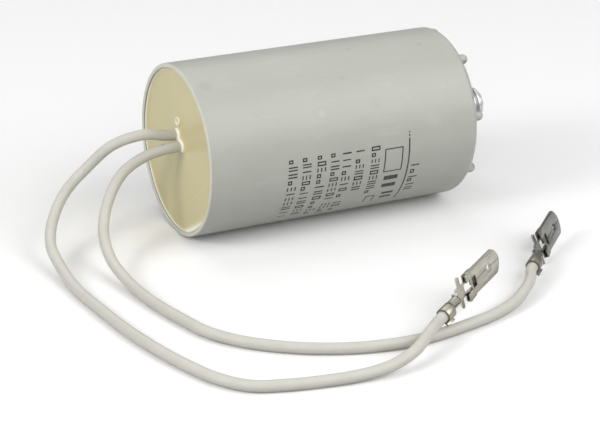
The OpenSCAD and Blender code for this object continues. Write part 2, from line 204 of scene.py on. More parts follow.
def add_mottle(tree, place, clouds, grain):
    """The mottle group's outputs, for its two scales per metre."""
    made = node(tree, "ShaderNodeGroup")
    made.node_tree = mottle
    tree.links.new(place, made.inputs["Place"])
    made.inputs["Cloud Scale"].default_value = clouds
    made.inputs["Grain Scale"].default_value = grain
    return made.outputs


def blend_colours(tree, mask, low, high):
    """Mixes two colours, given as values or sockets, by a mask."""
    return node(tree, "ShaderNodeMix", {0: mask, 6: low, 7: high}, data_type="RGBA").outputs[2]


def ramp(tree, value, low, high, to_low=0.0, to_high=1.0, smooth=False):
    """Turns the span from low to high into the one from to_low to to_high, and stops at its ends."""
    return node(tree, "ShaderNodeMapRange",
                {"Value": value, "From Min": low, "From Max": high, "To Min": to_low, "To Max": to_high},
                interpolation_type="SMOOTHSTEP" if smooth else "LINEAR").outputs["Result"]


def between(tree, value, low, high, soft):
    """1 between two values, fading out over a soft edge on each side."""
    rise = ramp(tree, value, low - soft, low)
    fall = ramp(tree, value, high, high + soft, 1.0, 0.0)
    return maths(tree, "MULTIPLY", rise, fall)


def object_place(tree):
    return node(tree, "ShaderNodeTexCoord").outputs["Object"]


def spot_mask(tree, place, centre, radius, soft):
    """1 inside a ball round a point of the part, fading out over its soft edge."""
    away = node(tree, "ShaderNodeVectorMath", {0: place, 1: centre}, operation="DISTANCE")
    return ramp(tree, away.outputs["Value"], radius, radius + soft, 1.0, 0.0, smooth=True)


def add_bump(tree, shader, height, depth, strength):
    bump = node(tree, "ShaderNodeBump", {"Height": height, "Strength": strength, "Distance": depth})
    tree.links.new(bump.outputs["Normal"], shader.inputs["Normal"])


vinyl, tree, shader = new_material("off_white_vinyl", Roughness=0.4, Specular_IOR_Level=0.45)
place = object_place(tree)
vinyl_noise = add_mottle(tree, place, 260.0, 3000.0)
clean = blend_colours(tree, vinyl_noise["Clouds"], (0.535, 0.522, 0.465, 1), (0.62, 0.608, 0.555, 1))
dirty = blend_colours(tree, vinyl_noise["Specks"], clean, (0.43, 0.40, 0.33, 1))
# one brown spot on lead b, close to the resin
stain = spot_mask(tree, place, (-43.3 * mm, -1.2 * mm, 22.1 * mm), 0.35 * mm, 0.5 * mm)
tree.links.new(blend_colours(tree, stain, dirty, (0.33, 0.23, 0.14, 1)), shader.inputs["Base Color"])
tree.links.new(ramp(tree, vinyl_noise["Clouds"], 0.3, 0.7, 0.36, 0.5), shader.inputs["Roughness"])
add_bump(tree, shader, vinyl_noise["Grain"], 0.02 * mm, 0.5)

lead_pieces = {}
for which in "ab":
    lead = smooth_curve(f"lead_{which}_insulation", lead_points(which))
    lead.data.bevel_depth = lead_d / 2 * mm
    lead.data.bevel_resolution = 7
    lead.data.use_fill_caps = True
    lead.data.materials.append(vinyl)
    lead_pieces[which] = lead

# ---- stranded conductors ----------------------------------------------------
# Nineteen thin copper wires twisted into each conductor. A little of them shows
# between the two crimps and in front of the conductor crimp; they run on in the can.
strand_count, strand_r, strand_lay = 19, 0.135, 14.0
# distance between two rings of strands, in strand radii, a touch under 2 as they are pressed
ring_step = 1.97
# along the terminal: the middle of the conductor crimp, and where the wire ends in front of it
crimp_x, wire_end_x = -6.0, -4.2
# inside the can: where each wire turns up to its contact, and the height of its soldered joint
inner_turns = {"a": (-30.7, 30.0), "b": (20.1, 30.0)}


def strand_tree():
    """Turns one curve into a twisted bundle: one strand in the middle, six round it, twelve outside."""
    tree = bpy.data.node_groups.new("twisted_strands", "GeometryNodeTree")
    face = tree.interface
    face.new_socket("Geometry", in_out="INPUT", socket_type="NodeSocketGeometry")
    for name in ("Strand Radius", "Lay Length"):
        face.new_socket(name, in_out="INPUT", socket_type="NodeSocketFloat")
    face.new_socket("Material", in_out="INPUT", socket_type="NodeSocketMaterial")
    face.new_socket("Geometry", in_out="OUTPUT", socket_type="NodeSocketGeometry")
    start = tree.nodes.new("NodeGroupInput").outputs
    end = tree.nodes.new("NodeGroupOutput").inputs

    even = node(tree, "GeometryNodeResampleCurve", {"Curve": start["Geometry"]})
    even.mode = "LENGTH"
    even.inputs["Length"].default_value = 0.4 * mm
    copies = node(tree, "GeometryNodeDuplicateElements",
                  {"Geometry": even.outputs["Curve"], "Amount": strand_count}, domain="SPLINE")
    number = copies.outputs["Duplicate Index"]
    off_middle = maths(tree, "GREATER_THAN", number, 0.5)
    outside = maths(tree, "GREATER_THAN", number, 6.5)
    ring = maths(tree, "ADD", off_middle, outside)
    step = maths(tree, "MULTIPLY_ADD", outside, -math.pi / 6, math.pi / 3)
    phase = maths(tree, "MULTIPLY", number, step)
    along = node(tree, "GeometryNodeSplineParameter").outputs["Length"]
    twist = maths(tree, "DIVIDE", along, start["Lay Length"])
    angle = maths(tree, "MULTIPLY_ADD", twist, 2 * math.pi, phase)
    normal = node(tree, "GeometryNodeInputNormal").outputs["Normal"]
    tangent = node(tree, "GeometryNodeInputTangent").outputs["Tangent"]
    turned = node(tree, "ShaderNodeVectorRotate",
                  {"Vector": normal, "Axis": tangent, "Angle": angle}, rotation_type="AXIS_ANGLE")
    spread = maths(tree, "MULTIPLY", maths(tree, "MULTIPLY", ring, ring_step), start["Strand Radius"])
    offset = node(tree, "ShaderNodeVectorMath", {0: turned.outputs["Vector"], "Scale": spread},
                  operation="SCALE")
    moved = node(tree, "GeometryNodeSetPosition",
                 {"Geometry": copies.outputs["Geometry"], "Offset": offset.outputs["Vector"]})
    section = node(tree, "GeometryNodeCurvePrimitiveCircle",
                   {"Resolution": 8, "Radius": start["Strand Radius"]})
    skin = node(tree, "GeometryNodeCurveToMesh",
                {"Curve": moved.outputs["Geometry"], "Profile Curve": section.outputs["Curve"],
                 "Fill Caps": True})
    real = node(tree, "GeometryNodeRealizeInstances", {"Geometry": skin.outputs["Mesh"]})
    done = node(tree, "GeometryNodeSetMaterial",
                {"Geometry": real.outputs["Geometry"], "Material": start["Material"]})
    tree.links.new(done.outputs["Geometry"], end["Geometry"])
    return tree


def nodes_to_mesh(source, tree, name, **values):
    """Runs a node tree on an object and keeps only the plain mesh that it makes."""
    modifier = source.modifiers.new("shape", "NODES")
    modifier.node_group = tree
    for item in tree.interface.items_tree:
        if item.in_out == "INPUT" and item.name in values:
            modifier[item.identifier] = values[item.name]
    bpy.context.view_layer.update()
    graph = bpy.context.evaluated_depsgraph_get()
    mesh = bpy.data.meshes.new_from_object(source.evaluated_get(graph), depsgraph=graph)
    mesh.name = name
    bpy.data.objects.remove(source)
    return add_object(name, mesh)


def joined(name, pieces):
    """One mesh object of several, with their materials kept."""
    with bpy.context.temp_override(active_object=pieces[0], selected_editable_objects=pieces,
                                   selected_objects=pieces, object=pieces[0]):
        bpy.ops.object.join()
    pieces[0].name = pieces[0].data.name = name
    return pieces[0]


copper, tree, shader = new_material("bare_copper", Metallic=1.0)
copper_noise = add_mottle(tree, object_place(tree), 900.0, 4000.0)
tree.links.new(blend_colours(tree, copper_noise["Clouds"], (0.48, 0.29, 0.17, 1), (0.74, 0.47, 0.30, 1)),
               shader.inputs["Base Color"])
tree.links.new(ramp(tree, copper_noise["Grain"], 0.3, 0.7, 0.28, 0.5), shader.inputs["Roughness"])

strands = strand_tree()
conductors = {}
for which in "ab":
    place = terminal_matrix(which)
    y, z = lead_exits[which]
    turn_x, solder_z = inner_turns[which]
    # inside the can each wire bends up from the lead's line to its contact
    routes = [[place @ (Vector((x, 0, wire_axis_z)) * mm) for x in (lead_tip, crimp_x, wire_end_x)],
              [Vector(p) * mm for p in ((resin_face_x + potted_l, y, z), (turn_x - 2.2, y, z),
                                        (turn_x - 0.3, y, z + 0.4), (turn_x, y, z + 1.6),
                                        (turn_x, y, solder_z))]]
    parts = [nodes_to_mesh(smooth_curve("route", route), strands, f"strands_{i}",
                           **{"Strand Radius": strand_r * mm, "Lay Length": strand_lay * mm,
                              "Material": copper}) for i, route in enumerate(routes)]
    conductors[which] = joined(f"lead_{which}_strands", parts)
    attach(conductors[which], "root")
    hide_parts(f"lead_{which}_conductor")

# ---- tab terminals ------------------------------------------------------------
# Folded and crimped from 0.4 mm tin-plated brass strip, with the rolling lines of
# the strip along them. Sheared and folded edges are softly rounded by the plating.
edge_ease = 0.05
# painted shade and painted dark edges: spans in mm along, across and above the strip where the plate is
# painted dark for the shade in its slot, folds, crimp mouths and seam and for dim reflections on its edges,
# the softness of the edge in mm, and how dark it is painted
painted_shade_boxes = [
    # the slot, and the shade that shows through it
    (((2.35, 4.05), (-1.25, 1.3), (-1.0, 0.33)), 0.12, 0.95),
    # the two open folds at the shoulder
    (((-0.05, 0.9), (-3.2, -1.4), (-0.1, 0.55)), 0.15, 0.9),
    (((-0.05, 0.9), (1.4, 3.2), (-0.1, 0.55)), 0.15, 0.9),
    # the mouths of the two crimps
    (((-7.75, -7.3), (-1.4, 1.4), (-0.6, 2.0)), 0.12, 0.8),
    (((-4.8, -4.5), (-1.4, 1.4), (-0.6, 2.0)), 0.12, 0.7),
    (((-11.1, -10.9), (-2.0, 2.0), (-0.6, 3.4)), 0.12, 0.6),
    # the seam along the tab
    (((4.1, 13.2), (-0.05, 0.05), (0.2, 0.6)), 0.07, 0.45),
    # the tab's two long edges and its tip, painted dark as the reflection of a dim room
    (((0.3, 13.6), (-3.3, -3.02), (-0.8, 0.6)), 0.1, 0.6),
    (((0.3, 13.6), (3.08, 3.3), (-0.8, 0.6)), 0.08, 0.35),
    (((13.15, 13.9), (-3.0, 3.0), (-0.8, 0.6)), 0.12, 0.5),
]


def shade_smooth(mesh, sharp_from):
    """Smooth shading, but for edges sharper than an angle in degrees."""
    mesh.polygons.foreach_set("use_smooth", [True] * len(mesh.polygons))
    mesh.set_sharp_from_angle(angle=math.radians(sharp_from))


def terminal_copy(which):
    """A copy of the solid with its edges eased, which keeps each point's place on the strip."""
    source = frame["nodes"][f"lead_{which}_terminal"]
    mesh = bpy.data.meshes.new(f"lead_{which}_tab")
    shape = bmesh.new()
    shape.from_mesh(source.data)
    bmesh.ops.remove_doubles(shape, verts=shape.verts, dist=0.002 * mm)
    bmesh.ops.dissolve_limit(shape, angle_limit=math.radians(1.0), verts=shape.verts, edges=shape.edges)
    shape.to_mesh(mesh)
    shape.free()
    piece = add_object(f"lead_{which}_tab", mesh)
    edge = piece.modifiers.new("edge", "BEVEL")
    edge.width = edge_ease * mm
    edge.segments = 2
    edge.limit_method = "ANGLE"
    edge.angle_limit = math.radians(35)
    edge.use_clamp_overlap = True
    graph = bpy.context.evaluated_depsgraph_get()
    finished = bpy.data.meshes.new_from_object(piece.evaluated_get(graph), depsgraph=graph)
    piece.modifiers.clear()
    piece.data = finished
    shade_smooth(finished, 32)
    local = terminal_matrix(which).inverted()
    strip = finished.attributes.new("strip_place", "FLOAT_VECTOR", "POINT")
    for vertex, value in zip(finished.vertices, strip.data):
        value.vector = (local @ vertex.co) / mm
    return piece


def shadow_box(tree, place, spans, soft):
    """1 inside a box that is given in the strip's own millimetres."""
    mask = None
    for axis, (low, high) in zip("XYZ", spans):
        side = between(tree, place.outputs[axis], low, high, soft)
        mask = side if mask is None else maths(tree, "MULTIPLY", mask, side)
    return mask


def tin_plate(name, low, high):
    """Tin over brass: rolling lines, a dull bloom, and painted shade in its hollows and along its edges."""
    material, tree, shader = new_material(name, Metallic=1.0)
    strip_place = node(tree, "ShaderNodeAttribute", attribute_name="strip_place").outputs["Vector"]
    rolled = node(tree, "ShaderNodeMapping", {"Vector": strip_place, "Scale": (0.12, 2.2, 2.2)})
    lines = node(tree, "ShaderNodeTexNoise",
                 {"Vector": rolled.outputs["Vector"], "Scale": 3.0, "Detail": 5.0}).outputs["Fac"]
    tarnish = node(tree, "ShaderNodeTexNoise",
                   {"Vector": strip_place, "Scale": 0.55, "Detail": 4.0}).outputs["Fac"]
    plate = blend_colours(tree, ramp(tree, lines, 0.2, 0.8), (*low, 1), (*high, 1))
    dull = ramp(tree, tarnish, 0.5, 0.72, 0.0, 0.5)
    plate = blend_colours(tree, dull, plate, (0.42, 0.405, 0.33, 1))
    apart = node(tree, "ShaderNodeSeparateXYZ", {"Vector": strip_place})
    # the grip on the insulation, behind the conductor crimp, is duller than the rest
    gripping = ramp(tree, apart.outputs["X"], -7.4, -7.9, 0.0, 0.55)
    plate = blend_colours(tree, gripping, plate, (0.27, 0.255, 0.185, 1))
    # painted shade in the slot, folds, crimp mouths and seam, and painted dark reflections on the edges and
    # tip
    for spans, soft, amount in painted_shade_boxes:
        painted_shade = ramp(tree, shadow_box(tree, apart, spans, soft), 0.0, 1.0, 0.0, amount)
        plate = blend_colours(tree, painted_shade, plate, (0.10, 0.088, 0.05, 1))
    tree.links.new(plate, shader.inputs["Base Color"])
    tree.links.new(ramp(tree, tarnish, 0.3, 0.7, 0.28, 0.42), shader.inputs["Roughness"])
    add_bump(tree, shader, lines, 0.02 * mm, 0.6)
    return material


# the terminal on lead b is a darker copy of the same tin plate: painted shade for the dim room that its
# blade reflects
plates = {"a": tin_plate("tin_plate", (0.36, 0.35, 0.30), (0.66, 0.645, 0.58)),
          "b": tin_plate("shaded_tin_plate", (0.15, 0.15, 0.14), (0.38, 0.38, 0.36))}
for which in "ab":
    tab = terminal_copy(which)
    tab.data.materials.clear()
    tab.data.materials.append(plates[which])
    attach(tab, "root")
    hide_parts(f"lead_{which}_terminal")
    lead = lead_pieces[which]
    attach(lead, "root")
    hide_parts(f"lead_{which}")
    y, z = lead_exits[which]

# ---- can ----------------------------------------------------------------------
# A cup moulded in one piece from grey-green polypropylene, with the spacer pips
# and the boss for the stud. Its skin is satin and a little scuffed from handling.
can_r, bore_r = 20.0, 18.95
# handling marks: place in mm, radius in mm, and how dark; a negative one is a light rub
smudges = [((-36.5, -8.4, 38.2), 1.6, 0.14), ((2.5, -16.5, 31.4), 1.7, 0.07),
           ((-11.4, -16.8, 30.9), 0.9, -0.1), ((19.8, -4.9, 39.4), 0.8, 0.2),
           ((2.1, -2.8, 39.8), 0.7, 0.2), ((-3.7, -11.3, 36.5), 0.6, 0.14),
           ((16.6, -19.1, 26.1), 2.2, -0.08), ((-13.4, -9.1, 37.8), 1.2, 0.05)]


def from_axis(tree, place):
    """The way from the can's axis straight out to a place, as a vector socket."""
    over = node(tree, "ShaderNodeVectorMath", {0: place, 1: (0, 0, can_axis_z * mm)}, operation="SUBTRACT")
    return node(tree, "ShaderNodeVectorMath", {0: over.outputs["Vector"], 1: (0, 1, 1)},
                operation="MULTIPLY").outputs["Vector"]


grey, tree, shader = new_material("grey_green_plastic", Specular_IOR_Level=0.5)
place = object_place(tree)
grey_noise = add_mottle(tree, place, 45.0, 2200.0)
body = blend_colours(tree, ramp(tree, grey_noise["Clouds"], 0.3, 0.7), (0.425, 0.434, 0.388, 1),
                     (0.455, 0.464, 0.420, 1))
for centre, radius, shade in smudges:
    mask = spot_mask(tree, place, [v * mm for v in centre], radius * 0.3 * mm, radius * mm)
    faint = ramp(tree, mask, 0.0, 1.0, 0.0, abs(shade))
    body = blend_colours(tree, faint, body, (0.2, 0.2, 0.18, 1) if shade > 0 else (0.75, 0.75, 0.72, 1))
# the rim is paler, and the wall inside it, over the resin, is darker
along_can = node(tree, "ShaderNodeSeparateXYZ", {"Vector": place}).outputs["X"]
rim = ramp(tree, along_can, (rim_x + 0.1) * mm, (rim_x + 0.3) * mm, 0.85, 0.0)
body = blend_colours(tree, rim, body, (0.65, 0.645, 0.56, 1))
off_axis = node(tree, "ShaderNodeVectorMath", {0: from_axis(tree, place)}, operation="LENGTH")
bore = ramp(tree, off_axis.outputs["Value"], (bore_r - 0.03) * mm, (bore_r + 0.02) * mm, 0.6, 0.0)
body = blend_colours(tree, bore, body, (0.24, 0.24, 0.20, 1))
# scuffs run along the can
scuff_place = node(tree, "ShaderNodeMapping", {"Vector": place, "Scale": (0.25, 1.0, 1.0)})
scuffs = node(tree, "ShaderNodeTexNoise", {"Vector": scuff_place.outputs["Vector"], "Scale": 420.0,
                                           "Detail": 6.0, "Roughness": 0.7}).outputs["Fac"]
rubbed = ramp(tree, scuffs, 0.55, 0.75, 0.0, 0.3)
body = blend_colours(tree, rubbed, body, (0.56, 0.565, 0.53, 1))
specks = ramp(tree, grey_noise["Specks"], 0.0, 1.0, 0.0, 0.18)
tree.links.new(blend_colours(tree, specks, body, (0.16, 0.16, 0.14, 1)), shader.inputs["Base Color"])
tree.links.new(ramp(tree, scuffs, 0.3, 0.7, 0.33, 0.46), shader.inputs["Roughness"])
add_bump(tree, shader, grey_noise["Grain"], 0.04 * mm, 0.6)
case = frame["nodes"]["case"]
case.data.materials.clear()
case.data.materials.append(grey)

# ---- ink on the can -------------------------------------------------------------
# Plain dark marks in a thin quick-drying ink, in rows round the can, with a frame,
# bars and one long line beside them. They are straight strokes, and spell nothing.
# the ink's thickness, and the angle in degrees between two points of a bent line
ink_t, arc_step = 0.02, 3
# each row: its place along the can, and where its groups begin and end, in degrees up from
# the can's front
ink_rows = [(-19.8, ((5, -10), (-15, -28), (-33, -44))), (-16.3, ((5, -29), (-34, -43))),
            (-12.6, ((5, -17), (-22, -32), (-37, -46))), (-9.2, ((5, -26), (-30, -37), (-41, -50))),
            (-6.2, ((5, -23), (-29, -37), (-41, -47))), (-2.8, ((5, -2), (-6, -24))),
            (1.2, ((5, -30),)), (12.0, ((-12, -22), (-25, -34)))]
# half the height and width of a mark, its strokes' width and the step to the next mark
mark_h, mark_w, stroke, mark_step = 1.15, 0.53, 0.34, 1.42
# strips: from and to along the can, then from and to in degrees
ink_strips = [
    # the long line and the two dashes over it
    (9.8, 10.15, 8.5, -46), (9.85, 10.15, 13, 12), (9.83, 10.15, 11, 9.5),
    # the frame's four sides
    (3.6, 8.4, 3.5, 2.7), (3.6, 8.4, -13.2, -14), (3.6, 3.9, 3.5, -14), (8.1, 8.4, 3.5, -14),
    # two thick bars
    (4.2, 7.8, -17.5, -21), (4.2, 7.8, -24.5, -28),
    # a small open frame
    (1.2, 3.6, -36, -37), (1.2, 1.5, -36, -44), (3.3, 3.6, -36, -44),
    # two thin bars
    (5.2, 8.2, -34, -36.5), (5.2, 8.2, -39, -41.5),
]


def mark_shapes():
    """Five plain marks, each a list of strokes from one corner to the other."""
    h, w, s = mark_h, mark_w, stroke
    kinds = [
        # a frame, two bars, one bar, three rungs and a half-height frame
        [(-h, -w, h, s - w), (-h, w - s, h, w), (-h, s - w, s - h, w - s), (h - s, s - w, h, w - s)],
        [(-h, -w, h, s - w), (-h, w - s, h, w)],
        [(-h, -s / 2, h, s / 2)],
        [(-h, -w, s - h, w), (-s / 2, -w, s / 2, w), (h - s, -w, h, w)],
        [(-h, -w, 0, s - w), (-h, w - s, 0, w), (-h, s - w, s - h, w - s), (-s, s - w, 0, w - s)],
    ]
    made = bpy.data.collections.new("marks")
    for number, strokes in enumerate(kinds):
        shape = bmesh.new()
        for x_from, y_from, x_to, y_to in strokes:
            size = Vector((x_to - x_from, y_to - y_from, ink_t)) * mm
            middle = Vector((x_from + x_to, y_from + y_to, 0)) / 2 * mm
            verts = bmesh.ops.create_cube(shape, size=1.0)["verts"]
            bmesh.ops.scale(shape, vec=size, verts=verts)
            bmesh.ops.translate(shape, vec=middle, verts=verts)
        mesh = bpy.data.meshes.new(f"mark_{number}")
        shape.to_mesh(mesh)
        shape.free()
        made.objects.link(bpy.data.objects.new(f"mark_{number}", mesh))
    return made


def round_can(x, turn, r):
    """A point of the can at a place along it, an angle in degrees up from its front, and a radius."""
    t = math.radians(turn)
    return Vector((x, -r * math.cos(t), can_axis_z + r * math.sin(t))) * mm


def arc_piece(name, spans):
    """Open arcs round the can: each span is a place along it and two angles, in degrees."""
    data = bpy.data.curves.new(name, "CURVE")
    data.dimensions = "3D"
    for x, start, end in spans:
        steps = max(2, round(abs(end - start) / arc_step))
        spline = data.splines.new("POLY")
        spline.points.add(steps)
        for i, point in enumerate(spline.points):
            point.co = (*round_can(x, start + (end - start) * i / steps, can_r), 1)
    return add_object(name, data)


def ink_tree():
    """Puts marks at even steps along the arcs, flat on the can, each kind picked by chance."""
    tree = bpy.data.node_groups.new("ink_marks", "GeometryNodeTree")
    face = tree.interface
    for name, kind in (("Geometry", "Geometry"), ("Marks", "Collection"), ("Pitch", "Float"),
                       ("Seed", "Int"), ("Material", "Material")):
        face.new_socket(name, in_out="INPUT", socket_type=f"NodeSocket{kind}")
    face.new_socket("Geometry", in_out="OUTPUT", socket_type="NodeSocketGeometry")
    start = tree.nodes.new("NodeGroupInput").outputs
    end = tree.nodes.new("NodeGroupOutput").inputs
    points = node(tree, "GeometryNodeCurveToPoints", {"Curve": start["Geometry"], "Length": start["Pitch"]},
                  mode="LENGTH")
    kinds = node(tree, "GeometryNodeCollectionInfo",
                 {"Collection": start["Marks"], "Separate Children": True, "Reset Children": True})
    pick = node(tree, "FunctionNodeRandomValue", {4: 0, 5: 4, "Seed": start["Seed"]}, data_type="INT")
    vary = node(tree, "FunctionNodeRandomValue", {"Seed": start["Seed"]}, data_type="FLOAT_VECTOR")
    vary.inputs["Min"].default_value = (0.9, 0.85, 1.0)
    vary.inputs["Max"].default_value = (1.0, 1.1, 1.0)
    place = node(tree, "GeometryNodeInputPosition").outputs["Position"]
    facing = node(tree, "FunctionNodeAlignRotationToVector", {"Vector": from_axis(tree, place)},
                  axis="Z", pivot_axis="X")
    put = node(tree, "GeometryNodeInstanceOnPoints",
               {"Points": points.outputs["Points"], "Instance": kinds.outputs["Instances"],
                "Pick Instance": True, "Instance Index": pick.outputs[2],
                "Rotation": facing.outputs["Rotation"], "Scale": vary.outputs["Value"]})
    real = node(tree, "GeometryNodeRealizeInstances", {"Geometry": put.outputs["Instances"]})
    done = node(tree, "GeometryNodeSetMaterial",
                {"Geometry": real.outputs["Geometry"], "Material": start["Material"]})
    tree.links.new(done.outputs["Geometry"], end["Geometry"])
    return tree


def bridge(shape, rings):
    """Joins each ring of points to the next one with a band of faces."""
    for a, b in zip(rings, rings[1:]):
        for k in range(len(a)):
            n = (k + 1) % len(a)
            shape.faces.new((a[k], a[n], b[n], b[k]))


def ink_strip(shape, x_from, x_to, start, end):
    """A thin bent strip of ink between two places along the can and two angles."""
    steps = max(1, round(abs(end - start) / arc_step))
    under, over = can_r - ink_t / 2, can_r + ink_t / 2
    corners = ((x_from, under), (x_to, under), (x_to, over), (x_from, over))
    rings = [[shape.verts.new(round_can(x, start + (end - start) * i / steps, r)) for x, r in corners]
             for i in range(steps + 1)]
    bridge(shape, rings)
    shape.faces.new(rings[0])
    shape.faces.new(rings[-1][::-1])


ink, tree, shader = new_material("dark_ink", Roughness=0.5)
ink_noise = add_mottle(tree, object_place(tree), 700.0, 5000.0)
tree.links.new(blend_colours(tree, ramp(tree, ink_noise["Clouds"], 0.35, 0.75), (0.012, 0.013, 0.012, 1),
                             (0.06, 0.06, 0.055, 1)), shader.inputs["Base Color"])

marks, kinds = ink_tree(), mark_shapes()
parts = []
for number, (x, groups) in enumerate(ink_rows):
    arcs = arc_piece("row", [(x, a, b) for a, b in groups])
    parts.append(nodes_to_mesh(arcs, marks, f"row_{number}",
                               **{"Marks": kinds, "Pitch": mark_step * mm, "Seed": number,
                                  "Material": ink}))
for mark in list(kinds.objects):
    bpy.data.objects.remove(mark)
bpy.data.collections.remove(kinds)
strips = bmesh.new()
for strip in ink_strips:
    ink_strip(strips, *strip)
bmesh.ops.recalc_face_normals(strips, faces=strips.faces)
strip_mesh = bpy.data.meshes.new("ink_strips")
strips.to_mesh(strip_mesh)
strips.free()
strip_mesh.materials.append(ink)
print_piece = joined("ink_marks", [add_object("ink_strips", strip_mesh)] + parts)
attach(print_piece, "root")

# ---- casting resin --------------------------------------------------------------
# Poured in warm and left to set: it dips a little in the middle, creeps up the wall
# and the two leads, stands thicker low at the front, and has kept one burst bubble.
resin_r, wrap_r = 18.9, 17.3
# along the can: where the roll begins under the resin, and where the skin round it ends
top_x, spacer_x = rim_x + 10.0, rim_x + 62.0
# how high the skin creeps at an edge, and over what distance it dies away
wall_creep, wall_fade = 0.42, 0.3
lead_creep, lead_fade = 0.85, 0.35
middle_dip = 0.10
# the thicker part: degrees below the can's front, half its spread in degrees, height and width
pool_turn, pool_spread, pool_h, pool_fade = 56.0, 19.0, 0.42, 1.6
# the bubble's middle, the radius, width and height of its lip, and the width and depth of its pit
bubble = (0.3, 26.9)
lip_r, lip_w, lip_h, pit_w, pit_h = 0.85, 0.22, 0.6, 0.5, 0.15


def resin_height(y, z):
    """How far the surface stands out of the plain face, in millimetres."""
    r = math.hypot(y, z - can_axis_z)
    from_pool = math.degrees(math.atan2(can_axis_z - z, -y)) - pool_turn
    pool = pool_h * math.exp(-(from_pool / pool_spread) ** 2)
    h = wall_creep * math.exp(-(resin_r - r) / wall_fade) - middle_dip * (1 - (r / resin_r) ** 2)
    h += pool * math.exp(-((resin_r - r) / pool_fade) ** 2)
    for exit_y, exit_z in lead_exits.values():
        away = max(0.0, math.hypot(y - exit_y, z - exit_z) - lead_d / 2)
        h += lead_creep * math.exp(-away / lead_fade)
    away = math.hypot(y - bubble[0], z - bubble[1])
    h += lip_h * math.exp(-((away - lip_r) / lip_w) ** 2) - pit_h * math.exp(-(away / pit_w) ** 2)
    # slow waves and a fine unevenness
    h += 0.05 * noise.noise(Vector((y * 0.22, z * 0.22, 3.0)))
    h += 0.012 * noise.noise(Vector((y * 1.1, z * 1.1, 8.0)))
    return h


def resin_mesh():
    """The cast face over the roll, and the thin skin of resin that runs down round the roll."""
    shape = bmesh.new()
    around = 400
    # close rings round the leads and the bubble, and again near the wall
    radii = ([0.1 * i for i in range(2, 90)] + [9 + 0.55 * i for i in range(16)]
             + [17.6 + 0.1 * i for i in range(13)] + [resin_r])

    def ring(r, place):
        made = []
        for k in range(around):
            t = 2 * math.pi * k / around
            y, z = r * math.cos(t), can_axis_z + r * math.sin(t)
            made.append(shape.verts.new((place(y, z) * mm, y * mm, z * mm)))
        return made

    def face_x(y, z):
        """The surface stays a little under the can's rim."""
        return max(rim_x + 0.06, resin_face_x - resin_height(y, z))

    rings = [ring(r, face_x) for r in radii]
    rings += [ring(r, lambda y, z, x=x: x) for r, x in
              ((resin_r, top_x), (resin_r, spacer_x), (wrap_r, spacer_x), (wrap_r, top_x), (0.2, top_x))]
    centre = shape.verts.new((face_x(0, can_axis_z) * mm, 0, can_axis_z * mm))
    bridge(shape, rings)
    for k in range(around):
        shape.faces.new((centre, rings[0][(k + 1) % around], rings[0][k]))
    shape.faces.new(rings[-1])
    bmesh.ops.recalc_face_normals(shape, faces=shape.faces)
    mesh = bpy.data.meshes.new("cast_resin")
    shape.to_mesh(mesh)
    shape.free()
    shade_smooth(mesh, 60)
    return mesh


resin, tree, shader = new_material("cream_resin", Specular_IOR_Level=0.6)
place = object_place(tree)
resin_noise = add_mottle(tree, place, 70.0, 1500.0)
cream = blend_colours(tree, ramp(tree, resin_noise["Clouds"], 0.15, 0.85), (0.57, 0.508, 0.265, 1),
                      (0.635, 0.572, 0.315, 1))
cast_place = node(tree, "ShaderNodeSeparateXYZ", {"Vector": place}).outputs
# a hair-thin scratch: a straight line across Y and Z, which fades out at its lower end
scratch_slope, scratch_z = 0.845, 4.12
scratch = maths(tree, "MULTIPLY_ADD", cast_place["Y"], scratch_slope, cast_place["Z"])
scratch = maths(tree, "ABSOLUTE", maths(tree, "SUBTRACT", scratch, scratch_z * mm))
scratch = ramp(tree, scratch, 0.05 * mm, 0.25 * mm, 0.3, 0.0)
near_side = ramp(tree, cast_place["Y"], -6.0 * mm, -2.5 * mm, 1.0, 0.0, smooth=True)
scratch = maths(tree, "MULTIPLY", scratch, near_side)
marked = blend_colours(tree, scratch, cream, (0.72, 0.68, 0.5, 1))
# where it stands up at the wall, the leads, the pool and the bubble, a pale colour is painted on as a
# highlight for its glints, and it is made shinier
creep_highlight = ramp(tree, cast_place["X"], (resin_face_x - 0.12) * mm, (resin_face_x - 0.38) * mm)
tree.links.new(blend_colours(tree, creep_highlight, marked, (0.93, 0.91, 0.78, 1)), shader.inputs["Base Color"])
satin = ramp(tree, resin_noise["Clouds"], 0.15, 0.85, 0.26, 0.4)
tree.links.new(node(tree, "ShaderNodeMix", {0: creep_highlight, 2: satin, 3: 0.08}).outputs[0],
               shader.inputs["Roughness"])
add_bump(tree, shader, resin_noise["Clouds"], 0.08 * mm, 0.2)
cast = add_object("cast_resin", resin_mesh())
cast.data.materials.append(resin)
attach(cast, "root")
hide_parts("potting_resin")

# ---- mounting stud ----------------------------------------------------------------
# An M8 steel stud, zinc plated, with a rolled thread of 1.25 mm pitch from the end
# wall to its chamfered tip. Its hex head is locked in the boss inside the can.
stud_r, thread_root_r, pitch = 4.0, 3.32, 1.25
end_face_x, stud_tip_x, tip_chamfer = 28.6, 39.9, 0.9
shank_r, head_x, head_t, head_af, head_ease = 3.6, 23.6, 2.5, 13.0, 0.25


